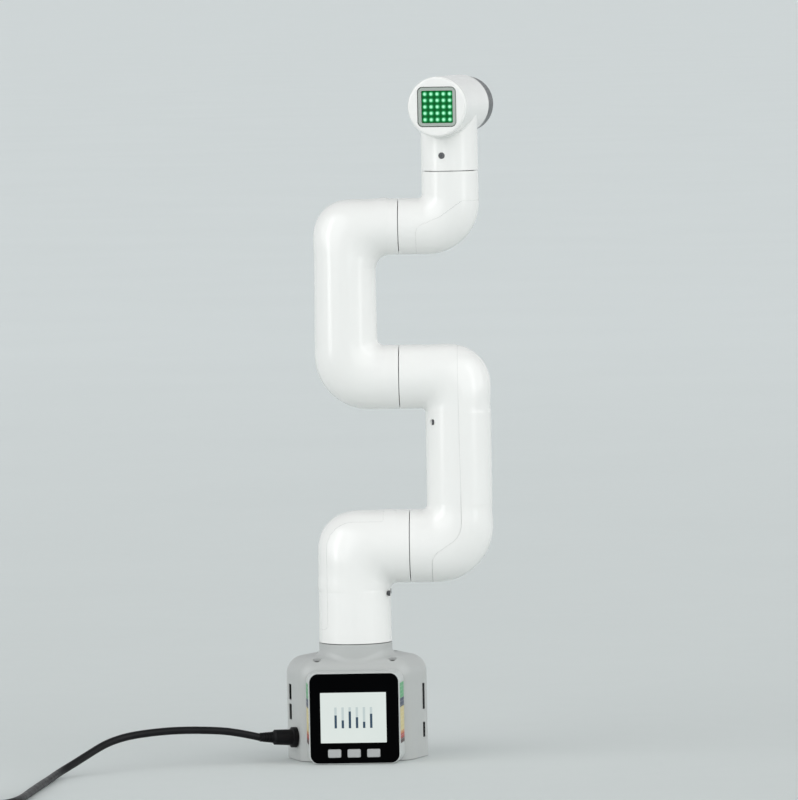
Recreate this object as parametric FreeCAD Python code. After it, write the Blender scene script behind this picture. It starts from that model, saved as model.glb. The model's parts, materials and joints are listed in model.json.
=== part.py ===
"""Desktop six-axis robot arm: a grey base with a square display unit, four tubular links and a head
with an LED face and a tool flange. Row frame in millimetres: +Z up along the base joint, the display
faces -Y, and the origin is on the table under the base joint."""

import FreeCAD
import Part

import math
import os

from FreeCAD import Vector

# ---- driving dimensions, millimetres -------------------------------------------------------------
WALL = 2.0  # moulded shells
SEAM = 0.5  # open gap at each turning joint
PART_GAP = 0.16  # line between a shell and its cover
FINE_GAP = 0.06  # the same where the line hardly shows
FIT = 0.06  # clearance between pieces that sit in each other

BASE_JOINT_Z = 72.5  # joint 1 seam, at the top of the neck
SHOULDER_Z = 131.7  # joint 2 axis
ELBOW_Z = 237.3  # joint 3 axis
WRIST_Z = 330.9  # joint 4 axis
ROLL_JOINT_Z = 365.2  # joint 5 seam
HEAD_Z = 405.4  # joint 6 axis
SHOULDER_SEAM_X = 35.4
ELBOW_SEAM_X = 30.6
WRIST_SEAM_X = 31.7

SHOULDER_D, ELBOW_D, WRIST_D = 45.6, 39.8, 35.0  # tube diameters at joints 2, 3 and 4
COLUMN_D = 44.8  # link 1's upright
UPPER_D, UPPER_X = 40.8, 66.6  # link 2's upright
FORE_D, FORE_X = 38.4, -2.2  # link 3's upright
HEAD_TUBE_D, HEAD_TUBE_X = 35.4, 64.2  # links 4 and 5, on joint 5's axis
HEAD_D = 37.3  # the head's barrel
HEAD_TURN_DEG = -12.4  # joint 5 at rest: the flange points to +Y turned by this
HEAD_FRONT, HEAD_SEAM, HEAD_END = -30.6, 29.2, 47.2  # along joint 6's axis, from joint 5's

BASE_HALF_W, BASE_FRONT_Y, BASE_REAR_Y = 43.6, -27.0, 41.5
BASE_TOP_Z = 64.0
TOP_ROUND = 11.0  # rounding along the rim of the base's top
SIDE_FRONT_X = 33.0  # the side faces close in to this at the front panel
SIDE_BEND_Y = 1.0
REAR_X, REAR_BEND_Y = 29.0, 9.0  # and to this at the rear panel
NECK_R, NECK_FOOT = 22.8, 4.5  # and the rounding at its foot

DISPLAY_FRONT_Y, DISPLAY_Z = -44.4, 28.55
BEZEL_W, BEZEL_H = 54.9, 55.5
SCREEN_W, SCREEN_H, SCREEN_UP, SCREEN_LEFT = 40.8, 31.3, 0.5, 0.6
BUTTON_W, BUTTON_H, BUTTON_PITCH, BUTTON_DROP, BUTTON_LEFT = 8.1, 5.1, 12.1, 21.6, 0.5

X, Y, Z = Vector(1, 0, 0), Vector(0, 1, 0), Vector(0, 0, 1)
ORIGIN = Vector(0, 0, 0)
PARTS = {}


# ---- general helpers -----------------------------------------------------------------------------
def keep(name, shape):
    """Stores a node; a compound of solids is a group of separate pieces."""
    if not shape.isValid():
        shape.fix(0.01, 0.01, 0.01)
    PARTS[name] = shape
    return shape


def cyl(radius, start, end):
    run = end - start
    return Part.makeCylinder(radius, run.Length, start, run)


def ring(outer, inner, start, end):
    over = (end - start).normalize() * 1.0
    return cyl(outer, start, end).cut(cyl(inner, start - over, end + over))


def group(solids):
    return Part.makeCompound(solids)


def on_axis(shape, origin, axis, across=Y):
    """Moves a shape built about +Z to stand at origin along axis, its own X turned to across."""
    side = across - axis * across.dot(axis)
    side.normalize()
    third = axis.cross(side)
    m = FreeCAD.Matrix(
        side.x, third.x, axis.x, origin.x,
        side.y, third.y, axis.y, origin.y,
        side.z, third.z, axis.z, origin.z,
        0, 0, 0, 1,
    )  # fmt: skip
    moved = shape.copy()
    moved.Placement = FreeCAD.Placement(m)
    return moved


def rounded_wire(points, radii, closed=False):
    """A wire of straight runs joined by tangent arcs, one radius for each corner that is rounded."""
    n = len(points)
    corners = range(n) if closed else range(1, n - 1)
    edges, last = [], None
    first = points[0] if not closed else None
    for k, i in enumerate(corners):
        before, here, after = points[i - 1], points[i], points[(i + 1) % n]
        a, b = (before - here).normalize(), (after - here).normalize()
        half = math.acos(max(-1.0, min(1.0, a.dot(b)))) / 2
        back = radii[k] / math.tan(half)
        p, q = here + a * back, here + b * back
        middle = here + (a + b).normalize() * (radii[k] / math.sin(half) - radii[k])
        if last is None:
            start = first if first is not None else p
            if (start - p).Length > 1e-6:
                edges.append(Part.LineSegment(start, p).toShape())
            opening = p
        elif (last - p).Length > 1e-6:
            edges.append(Part.LineSegment(last, p).toShape())
        edges.append(Part.Arc(p, middle, q).toShape())
        last = q
    finish = opening if closed else points[-1]
    if (last - finish).Length > 1e-6:
        edges.append(Part.LineSegment(last, finish).toShape())
    return Part.Wire(edges)


def rounded_box(width, depth, height, radius, low):
    """A box standing on low (its middle), with its four upright edges rounded."""
    box = Part.makeBox(width, depth, height, low - Vector(width / 2, depth / 2, 0))
    upright = [e for e in box.Edges if abs(e.tangentAt(e.FirstParameter).z) > 0.99]
    return box.makeFillet(radius, upright)


def facing_slab(width, height, radius, front_y, back_y, x, z):
    """A rounded rectangle that faces -Y, between two planes of constant Y."""
    flat = rounded_box(width, height, back_y - front_y, radius, ORIGIN)
    return on_axis(flat, Vector(x, front_y, z), Y, X)


# ---- tubular link skins --------------------------------------------------------------------------
class Station:
    """One cross-section of a link: an ellipse about centre, out along u by a and along Y by b."""

    def __init__(self, centre, u, a, b):
        self.centre, self.u, self.a, self.b = centre, u, a, b

    def wire(self, inset):
        count = 20
        points = [
            self.centre
            + self.u * ((self.a - inset) * math.cos(2 * math.pi * k / count))
            + Y * ((self.b - inset) * math.sin(2 * math.pi * k / count))
            for k in range(count)
        ]
        curve = Part.BSplineCurve()
        curve.interpolate(Points=points, PeriodicFlag=True)
        return Part.Wire(curve.toShape())

    def moved(self, shift):
        return Station(self.centre + shift, self.u, self.a, self.b)


def straight(start, end, u, d_start, d_end=None):
    """A round stretch from start to end."""
    d_end = d_end or d_start
    return [Station(start, u, d_start / 2, d_start / 2), Station(end, u, d_end / 2, d_end / 2)]


def outer_reach(cos_a, sin_a, wide, high, corner):
    """How far a rounded corner (sides wide and high from the pivot) reaches in one direction."""
    cx, cz = wide - corner, high - corner
    if cos_a > 1e-9 and wide / cos_a * sin_a <= cz:
        return wide / cos_a
    if sin_a > 1e-9 and high / sin_a * cos_a <= cx:
        return high / sin_a
    along = cx * cos_a + cz * sin_a
    return along + math.sqrt(along**2 - cx**2 - cz**2 + corner**2)


def bend(pivot, u_start, u_end, d_start, d_end, inner_r, corner_r, steps=7):
    """Sections turning about an inner corner; the outer outline keeps a corner of its own radius."""
    wide, high = inner_r + d_start, inner_r + d_end
    out = []
    for k in range(steps + 1):
        a = math.pi / 2 * k / steps
        reach = outer_reach(math.cos(a), math.sin(a), wide, high, corner_r)
        u = u_start * math.cos(a) + u_end * math.sin(a)
        t = k / steps
        width = d_start + (d_end - d_start) * t * t * (3 - 2 * t)
        half = (reach - inner_r) / 2
        out.append(Station(pivot + u * (inner_r + half), u, half, width / 2))
    return out


def skin(stretches, inset=0.0, extend=0.0):
    """A solid through the stretches; extend runs it past both ends, for cutting a cavity open."""
    pieces = []
    for n, stretch in enumerate(stretches):
        walls = list(stretch)
        if extend and n == 0:
            walls[0] = walls[0].moved((walls[0].centre - walls[1].centre).normalize() * extend)
        if extend and n == len(stretches) - 1:
            walls[-1] = walls[-1].moved((walls[-1].centre - walls[-2].centre).normalize() * extend)
        pieces.append(Part.makeLoft([s.wire(inset) for s in walls], True, False, False, 5))
    return pieces[0].fuse(pieces[1:])


def hollow(stretches):
    return skin(stretches).cut(skin(stretches, WALL, 1.0))


def region(points, radii, half_depth=60):
    """The space on one side of a parting line: a closed outline in XZ, run right through in Y."""
    wire = rounded_wire([Vector(x, -half_depth, z) for x, z in points], radii, closed=True)
    return Part.Face(wire).extrude(Y * (2 * half_depth))


def split(shell, zone, shift):
    """(body, cover): the cover lies in the zone, and the body stops a parting gap short of it."""
    wider = zone.copy()
    wider.translate(shift)
    cover = shell.common(zone)
    body = shell.cut(zone.fuse(wider))
    return body, cover


# ---- joint modules -------------------------------------------------------------------------------
BEARING_W = 6.0
BEARING_SECTION = 4.5


def joint_module(number, seam, axis, across, parent_r, child_r, servo_size, hub_screws=4):
    """Servo and bearing in the parent's tube, hub in the child's, on one axis through the seam."""
    width, depth, length = servo_size
    race = parent_r - FIT
    bore = race - BEARING_SECTION
    top = -1.2
    bearing = ring(race, bore, Z * (top - BEARING_W), Z * top)
    for face_z in (top, top - BEARING_W):
        bearing = bearing.cut(Part.makeTorus(race - BEARING_SECTION / 2, 1.3, Z * face_z, Z))
    journal = bore - FIT
    horn_bottom = top - BEARING_W - 1.4
    hub = cyl(child_r - FIT, Z * 1.0, Z * 4.2).fuse(cyl(journal, Z * (horn_bottom + 1.2), Z * 1.2))
    hub = hub.fuse(cyl(min(9.0, journal), Z * horn_bottom, Z * (horn_bottom + 1.4)))
    hub = hub.cut(cyl(3.2, Z * (horn_bottom - 1), Z * 5))
    screws = []
    for k in range(hub_screws):
        turn = 2 * math.pi * (k + 0.5) / hub_screws
        at = Vector(math.cos(turn), math.sin(turn), 0) * (journal * 0.68)
        hub = hub.cut(cyl(1.1, at + Z * (horn_bottom - 1), at + Z * 5))
        hub = hub.cut(cyl(2.1, at + Z * 2.2, at + Z * 5))
        screw = cyl(1.0, at + Z * (horn_bottom + 0.6), at + Z * 2.3)
        screw = screw.fuse(cyl(1.9, at + Z * 2.3, at + Z * 3.9))
        screws.append(screw.cut(cyl(0.8, at + Z * 3.0, at + Z * 5)))
    deck = horn_bottom - 0.4
    servo = rounded_box(width, depth, length, 2.0, Z * (deck - 0.8 - length))
    servo = servo.fuse(cyl(min(width, depth) * 0.38, Z * (deck - 1.0), Z * deck))
    lid_z = deck - 0.8 - length * 0.3
    frame = rounded_box(width + 1, depth + 1, 0.6, 2.0, Z * lid_z)
    frame = frame.cut(rounded_box(width - 0.8, depth - 0.8, 2.6, 1.6, Z * (lid_z - 1)))
    servo = servo.cut(frame)
    keep(f"servo_{number}", on_axis(servo, seam, axis, across))
    keep(f"bearing_{number}", on_axis(bearing, seam, axis, across))
    return on_axis(hub, seam, axis, across), [on_axis(s, seam, axis, across) for s in screws]


# ---- base ----------------------------------------------------------------------------------------
def base_outline(inset, z):
    """The base seen from above: side faces close in towards the front panel."""
    w, f, r = BASE_HALF_W - inset, BASE_FRONT_Y + inset, BASE_REAR_Y - inset
    s = SIDE_FRONT_X - inset
    q = REAR_X - inset * 0.6
    points = [
        Vector(-s, f, z), Vector(s, f, z), Vector(w, SIDE_BEND_Y, z), Vector(w, REAR_BEND_Y, z),
        Vector(q, r, z), Vector(-q, r, z), Vector(-w, REAR_BEND_Y, z), Vector(-w, SIDE_BEND_Y, z),
    ]  # fmt: skip
    radii = [v - inset for v in (11.5, 11.5, 16, 14, 13, 13, 14, 16)]
    return Part.Face(rounded_wire(points, radii, closed=True))


def base_body(inset, bottom):
    """The base's block with a rounded rim, and the neck on it with a rounded foot."""
    height = BASE_TOP_Z - inset - bottom
    block = base_outline(inset, bottom).extrude(Z * height)
    rim = [e for e in block.Edges
           if abs(e.BoundBox.ZMin - (BASE_TOP_Z - inset)) < 1e-4
           and abs(e.BoundBox.ZMax - (BASE_TOP_Z - inset)) < 1e-4]
    block = block.makeFillet(TOP_ROUND - inset, rim)
    top = BASE_JOINT_Z - SEAM / 2 + (5 if inset else 0)
    body = block.fuse(cyl(NECK_R - inset, Z * (BASE_TOP_Z - 14), Z * top)).removeSplitter()
    if inset:
        return body
    foot = [e for e in body.Edges
            if e.BoundBox.ZMin > BASE_TOP_Z - 12 and e.BoundBox.ZMax < BASE_JOINT_Z - 1
            and all(abs(math.hypot(v.X, v.Y) - NECK_R) < 0.01 for v in e.Vertexes)
            and e.BoundBox.DiagonalLength > 0.5]
    return body.makeFillet(NECK_FOOT, foot)


SIDE_RUN = Vector(BASE_HALF_W - SIDE_FRONT_X, SIDE_BEND_Y - BASE_FRONT_Y, 0).normalize()


def side_frame(y, z, right):
    """(point, outward normal) on the closing-in side face at this y and height."""
    t = (y - BASE_FRONT_Y) / SIDE_RUN.y
    x = SIDE_FRONT_X + SIDE_RUN.x * t
    sign = 1 if right else -1
    return Vector(sign * x, y, z), Vector(sign * SIDE_RUN.y, -SIDE_RUN.x, 0)


def side_slab(width, height, radius, y, z, right, inward, outward):
    """A rounded block through a side face: width along the face, height up."""
    point, normal = side_frame(y, z, right)
    flat = rounded_box(width, height, inward + outward, radius, Z * -inward)
    return on_axis(flat, point, normal, normal.cross(Z))


PORT_W, PORT_H, PORT_Y, PORT_ZS = 5.2, 10.0, -5.0, (29.7, 42.1)
JACK_Y, JACK_Z = -15.2, 14.6
HEADER_Y, HEADERS = -4.0, ((38.1, 7), (17.2, 4))  # (middle height, number of contacts)
HEADER_PITCH = 2.3
POSTS = [(sx * 23.5, y) for sx in (-1, 1) for y in (-20.0, 24.5)]
BOARD, BOARD_Y, BOARD_Z, BOARD_PEG = 38.0, 6.0, 12.0, 14.5
FOOT_HOLES = [(sx * 25.0, sy * 12.0 + 8.0) for sx in (-1, 1) for sy in (-1, 1)]
BRICK_HOLES = [(sx * 16.0, sy * 8.0 + 8.0) for sx in (-1, 1) for sy in (-1, 1)]
DISPLAY_SLOT_Z = 44.0


def build_base():
    shell = base_body(0, 0.4).cut(base_body(WALL + 0.4, -1))
    shell = shell.cut(cyl(SHOULDER_D / 2 - WALL - 0.3, Z * 60, Z * 80))
    shell = shell.cut(facing_slab(44, DISPLAY_SLOT_Z, 4, BASE_FRONT_Y - 3, BASE_FRONT_Y + 6,
                                  0, DISPLAY_Z))
    for z in PORT_ZS:
        shell = shell.cut(side_slab(PORT_W, PORT_H, 0.6, PORT_Y, z, False, 6, 3))
    point, normal = side_frame(JACK_Y, JACK_Z, False)
    shell = shell.cut(cyl(5.2, point - normal * 6, point + normal * 3))
    for z, contacts in HEADERS:
        shell = shell.cut(side_slab(2.7, contacts * HEADER_PITCH + 0.3, 0.3, HEADER_Y, z, True, 6, 3))
    inside = base_body(1.0, 0.4)
    clear = base_body(WALL + 0.5, 0.4)
    screws = []
    posts = []
    for x, y in POSTS:
        top = BASE_TOP_Z - 5.2
        seat = cyl(4.2, Vector(x, y, top - 3), Vector(x, y, top + 3)).common(inside)
        shell = shell.fuse(seat)
        shell = shell.cut(cyl(2.5, Vector(x, y, top + 1.6), Vector(x, y, 80)))
        shell = shell.cut(cyl(1.6, Vector(x, y, top - 4), Vector(x, y, 80)))
        post = cyl(4.2, Vector(x, y, 2.9), Vector(x, y, top - 3 - FIT)).common(clear)
        posts.append(post.cut(cyl(1.5, Vector(x, y, 42), Vector(x, y, 70))))
        screw = cyl(1.4, Vector(x, y, 44), Vector(x, y, top + 1.7))
        screw = screw.fuse(cyl(2.3, Vector(x, y, top + 1.7), Vector(x, y, top + 3.2)))
        screws.append(screw.cut(rounded_box(1.6, 1.6, 2, 0.2, Vector(x, y, top + 2.3))))
    keep("base_shell", shell)
    keep("base_screws", group(screws))

    plate = base_outline(WALL + 0.5, 0).extrude(Z * 3.0)
    for post in posts:
        plate = plate.fuse(post)
    for x, y in FOOT_HOLES:
        plate = plate.fuse(cyl(3.6, Vector(x, y, 2), Vector(x, y, 8)))
        plate = plate.cut(cyl(1.65, Vector(x, y, -1), Vector(x, y, 7)))
    for x, y in BRICK_HOLES:
        plate = plate.cut(cyl(2.45, Vector(x, y, -1), Vector(x, y, 6)))
    board = rounded_box(BOARD, BOARD, 1.6, 2, Vector(0, BOARD_Y, BOARD_Z))
    for sx in (-1, 1):
        for sy in (-1, 1):
            x, y = sx * BOARD_PEG, BOARD_Y + sy * BOARD_PEG
            plate = plate.fuse(cyl(2.4, Vector(x, y, 2), Vector(x, y, BOARD_Z - FIT / 2)))
            plate = plate.fuse(cyl(1.1, Vector(x, y, 2), Vector(x, y, BOARD_Z + 2.4)))
            board = board.cut(cyl(1.2, Vector(x, y, 0), Vector(x, y, 20)))
        board = board.fuse(rounded_box(5, 9, 4, 0.5, Vector(sx * 7, 15, BOARD_Z + 1.4)))
    board = board.fuse(rounded_box(9, 9, 1.2, 0.4, Vector(0, 2, BOARD_Z + 1.4)))
    keep("base_plate", plate.removeSplitter())
    keep("main_board", board)

    ports = []
    for z in PORT_ZS:
        body = side_slab(PORT_W - 0.2, PORT_H - 0.2, 0.5, PORT_Y, z, False, 9.0, -0.5)
        mouth = side_slab(PORT_W - 1.4, PORT_H - 1.4, 0.3, PORT_Y, z, False, 6.6, 3)
        body = body.cut(mouth)
        at, out = side_frame(PORT_Y, z, False)
        for k in range(4):
            pin = at + Z * ((k - 1.5) * 2.0)
            body = body.fuse(cyl(0.35, pin - out * 6.8, pin - out * 2.2))
        ports.append(body)
    keep("side_ports", group(ports))

    jack = cyl(5.0, point - normal * 13.0, point - normal * 0.3)
    jack = jack.cut(cyl(3.3, point - normal * 11.0, point + normal))
    keep("dc_jack", jack.fuse(cyl(0.95, point - normal * 11.2, point - normal * 1.6)))

    headers = []
    for z, contacts in HEADERS:
        tall = contacts * HEADER_PITCH
        body = side_slab(2.5, tall, 0.2, HEADER_Y, z, True, 7.0, 0.3)
        at, out = side_frame(HEADER_Y, z, True)
        for k in range(contacts):
            hole = at + Z * ((k - (contacts - 1) / 2) * HEADER_PITCH)
            cut = on_axis(Part.makeBox(1.0, 1.0, 8, Vector(-0.5, -0.5, -5)), hole, out, Z)
            body = body.cut(cut)
        headers.append(body)
    keep("pin_headers", group(headers))


# ---- display unit --------------------------------------------------------------------------------
def frustum(front_w, front_h, back_w, back_h, radius, front_y, back_y, z=DISPLAY_Z):
    def outline(w, h, y):
        corners = [Vector(-w / 2, y, z - h / 2), Vector(w / 2, y, z - h / 2),
                   Vector(w / 2, y, z + h / 2), Vector(-w / 2, y, z + h / 2)]
        return rounded_wire(corners, [radius] * 4, closed=True)

    return Part.makeLoft([outline(front_w, front_h, front_y), outline(back_w, back_h, back_y)],
                         True, True)


CASE_FRONT_W, CASE_FRONT_H = BEZEL_W + 1.6, BEZEL_H + 1.2
CASE_BACK_W, CASE_BACK_H = 60.6, 56.9
CASE_FRONT_Y = DISPLAY_FRONT_Y + 0.5
LABEL_Z = (12.6, 50.0)


def build_display():
    case = frustum(CASE_FRONT_W, CASE_FRONT_H, CASE_BACK_W, CASE_BACK_H, 6.0, CASE_FRONT_Y,
                   BASE_FRONT_Y - 0.05)
    soft_edges = [e for e in case.Edges if e.BoundBox.YMax < CASE_FRONT_Y + 0.01]
    case = case.makeFillet(0.45, soft_edges)
    case = case.cut(facing_slab(BEZEL_W + 0.16, BEZEL_H + 0.16, 5.3, CASE_FRONT_Y - 2,
                                CASE_FRONT_Y + 1.2, 0, DISPLAY_Z))
    case = case.cut(facing_slab(50, 50, 3.5, CASE_FRONT_Y - 2, BASE_FRONT_Y - 2.6, 0, DISPLAY_Z))
    case = case.cut(facing_slab(38, 38, 3.0, CASE_FRONT_Y - 2, BASE_FRONT_Y + 2, 0, DISPLAY_Z))
    keep("display_case", case)

    bezel_back = CASE_FRONT_Y + 1.15
    bezel = facing_slab(BEZEL_W, BEZEL_H, 5.2, DISPLAY_FRONT_Y, bezel_back, 0, DISPLAY_Z)
    face_edges = [e for e in bezel.Edges if e.BoundBox.YMax < DISPLAY_FRONT_Y + 0.01]
    bezel = bezel.makeFillet(0.35, face_edges)
    sx, sz = -SCREEN_LEFT, DISPLAY_Z + SCREEN_UP
    bezel = bezel.cut(facing_slab(SCREEN_W, SCREEN_H, 0.3, DISPLAY_FRONT_Y - 1,
                                  bezel_back + 1, sx, sz))
    button_z = DISPLAY_Z - BUTTON_DROP
    button_x = {k: k * BUTTON_PITCH - BUTTON_LEFT for k in (-1, 0, 1)}
    for k in (-1, 0, 1):
        bezel = bezel.cut(facing_slab(BUTTON_W + 0.4, BUTTON_H + 0.4, 1.0, DISPLAY_FRONT_Y - 1,
                                      bezel_back + 1, button_x[k], button_z))
    keep("display_bezel", bezel)

    screen = facing_slab(SCREEN_W - 0.1, SCREEN_H - 0.1, 0.25, DISPLAY_FRONT_Y + 0.3,
                         bezel_back, sx, sz)
    back = facing_slab(SCREEN_W + 4, SCREEN_H + 4, 0.6, bezel_back, bezel_back + 2.4, sx, sz)
    keep("display_screen", screen.fuse(back))

    board = facing_slab(49, 49, 3, bezel_back + 6.0, bezel_back + 7.6, 0, DISPLAY_Z)
    board = board.fuse(facing_slab(14, 14, 0.6, bezel_back + 7.5, bezel_back + 9.4, 8, DISPLAY_Z + 8))
    keep("display_board", board)

    switches = []
    for k, name in ((-1, "left"), (0, "middle"), (1, "right")):
        x = button_x[k]
        cap = facing_slab(BUTTON_W, BUTTON_H, 0.8, DISPLAY_FRONT_Y - 0.45, bezel_back - 0.2,
                          x, button_z)
        cap = cap.makeFillet(0.3, [e for e in cap.Edges
                                   if e.BoundBox.YMax < DISPLAY_FRONT_Y - 0.44])
        flange = facing_slab(BUTTON_W + 1.6, BUTTON_H + 1.6, 0.8, bezel_back + 0.05,
                             bezel_back + 0.75, x, button_z)
        neck = facing_slab(BUTTON_W - 1, BUTTON_H - 1, 0.6, bezel_back - 0.4, bezel_back + 0.3,
                           x, button_z)
        stem = cyl(1.0, Vector(x, bezel_back + 0.5, button_z), Vector(x, bezel_back + 2.3, button_z))
        keep(f"button_{name}", cap.fuse([flange, neck, stem]))
        housing = facing_slab(5.0, 5.0, 0.4, bezel_back + 3.4, bezel_back + 5.98, x, button_z)
        switches.append(housing)
    keep("button_switches", group(switches))

    lean = (CASE_BACK_W - CASE_FRONT_W) / 2 / (BASE_FRONT_Y - CASE_FRONT_Y)
    y0, y1 = CASE_FRONT_Y + 1.5, BASE_FRONT_Y - 1.5
    low, high = LABEL_Z
    for sign, name in ((-1, "left"), (1, "right")):
        corners = []
        for y, off in ((y0, 0.02), (y1, 0.02), (y1, 0.18), (y0, 0.18)):
            x = CASE_FRONT_W / 2 + lean * (y - CASE_FRONT_Y) + off
            corners.append(Vector(sign * x, y, low))
        face = Part.Face(Part.makePolygon(corners + corners[:1]))
        keep(f"pin_label_{name}", face.extrude(Z * (high - low)))


# ---- links ---------------------------------------------------------------------------------------
def through_x(x_open, x_deep, y, z, radius):
    return cyl(radius, Vector(x_open, y, z), Vector(x_deep, y, z))


def cover_screws(sign, wall_x, boss_x, z, ys, shell, cover, cavity, hole_r=1.9):
    """Screws along X from the inner side of a link into bosses on its cover."""
    screws = []
    for y in ys:
        head_x = wall_x - sign * 1.2
        shell = shell.cut(through_x(wall_x + sign * 8, head_x, y, z, hole_r))
        shell = shell.cut(through_x(wall_x + sign * 8, head_x - sign * 6, y, z, 1.3))
        boss = through_x(head_x - sign * 5, boss_x, y, z, 3.0).common(cavity)
        boss = boss.cut(through_x(wall_x, head_x - sign * 17, y, z, 1.2))
        cover = cover.fuse(boss)
        screw = through_x(head_x, head_x - sign * 14, y, z, 1.1)
        head = through_x(head_x + sign * 1.3, head_x + sign * 0.02, y, z, 1.7)
        socket = through_x(head_x + sign * 2, head_x + sign * 0.5, y, z, 0.8)
        screws.append(screw.fuse(head).cut(socket))
    return shell, cover, screws


def link_1():
    """Shoulder: upright column, then a bend to joint 2 on the right."""
    inner = 4.5
    edge = COLUMN_D / 2
    pivot = Vector(edge + inner, 0, SHOULDER_Z - SHOULDER_D / 2 - inner)
    start = Vector(0, 0, BASE_JOINT_Z + SEAM / 2)
    end = Vector(SHOULDER_SEAM_X - SEAM / 2, 0, SHOULDER_Z)
    stretches = [
        straight(start, Vector(0, 0, pivot.z), X * -1, COLUMN_D + 0.5, COLUMN_D),
        bend(pivot, X * -1, Z, COLUMN_D, SHOULDER_D, inner, 24.3),
        straight(Vector(pivot.x, 0, SHOULDER_Z), end, Z, SHOULDER_D),
    ]
    shell = hollow(stretches)
    cavity = skin(stretches, WALL - 0.5)
    line = [(-40, 81.2), (-16.5, 81.2), (-16.5, 148.2), (19, 148.2), (19, 175), (-40, 175)]
    zone = region(line, [1, 3, 17, 1, 1, 1])
    body, cover = split(shell, zone, Vector(FINE_GAP, 0, -FINE_GAP))
    body, cover, screws = cover_screws(1, edge, -edge, 103.0, (-8.6, 8.6), body, cover, cavity)
    hub, hub_screws = joint_module(1, Vector(0, 0, BASE_JOINT_Z), Z, X,
                                   SHOULDER_D / 2 - WALL - 0.3, COLUMN_D / 2 - WALL, (30, 26, 36))
    keep("shoulder_shell", body)
    keep("shoulder_cover", cover)
    keep("hub_1", hub)
    keep("shoulder_screws", group(screws + hub_screws))


def link_2():
    """Upper arm: out of joint 2, up, and back to joint 3."""
    low_inner, high_inner = 3.5, 2.5
    left = UPPER_X - UPPER_D / 2
    low = Vector(left - low_inner, 0, SHOULDER_Z + SHOULDER_D / 2 + low_inner)
    high = Vector(left - high_inner, 0, ELBOW_Z - ELBOW_D / 2 - high_inner)
    start = Vector(SHOULDER_SEAM_X + SEAM / 2, 0, SHOULDER_Z)
    end = Vector(ELBOW_SEAM_X + SEAM / 2, 0, ELBOW_Z)
    stretches = [
        straight(start, Vector(low.x, 0, SHOULDER_Z), Z * -1, SHOULDER_D),
        bend(low, Z * -1, X, SHOULDER_D, UPPER_D, low_inner, 35.0),
        straight(Vector(UPPER_X, 0, low.z), Vector(UPPER_X, 0, high.z), X, UPPER_D),
        bend(high, X, Z, UPPER_D, ELBOW_D, high_inner, 25.0),
        straight(Vector(high.x, 0, ELBOW_Z), end, Z, ELBOW_D),
    ]
    shell = hollow(stretches)
    cavity = skin(stretches, WALL - 0.5)
    line = [(49.3, 95), (120, 95), (120, 275), (66.8, 275), (68.1, 138.8), (49.3, 126.8)]
    zone = region(line, [1, 1, 1, 1, 15, 10])
    body, cover = split(shell, zone, Vector(-FINE_GAP, 0, 0))
    open_end = Part.makeBox(60, 80, 70, Vector(40, -40, 95))
    open_end.translate(Vector(-PART_GAP, 0, 0))
    wider = zone.copy()
    wider.translate(Vector(-PART_GAP, 0, 0))
    body = body.cut(wider.common(open_end))
    screw_y = 12.8
    wall_x = UPPER_X - math.sqrt((UPPER_D / 2) ** 2 - screw_y**2)
    body, cover, screws = cover_screws(-1, wall_x, UPPER_X + UPPER_D / 2, 209.4,
                                       (-screw_y, screw_y), body, cover, cavity)
    hub, hub_screws = joint_module(2, Vector(SHOULDER_SEAM_X, 0, SHOULDER_Z), X, Y,
                                   SHOULDER_D / 2 - WALL, SHOULDER_D / 2 - WALL, (24, 28, 30))
    keep("upper_arm_shell", body)
    keep("upper_arm_cover", cover)
    keep("hub_2", hub)
    keep("upper_arm_screws", group(screws + hub_screws))


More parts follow.
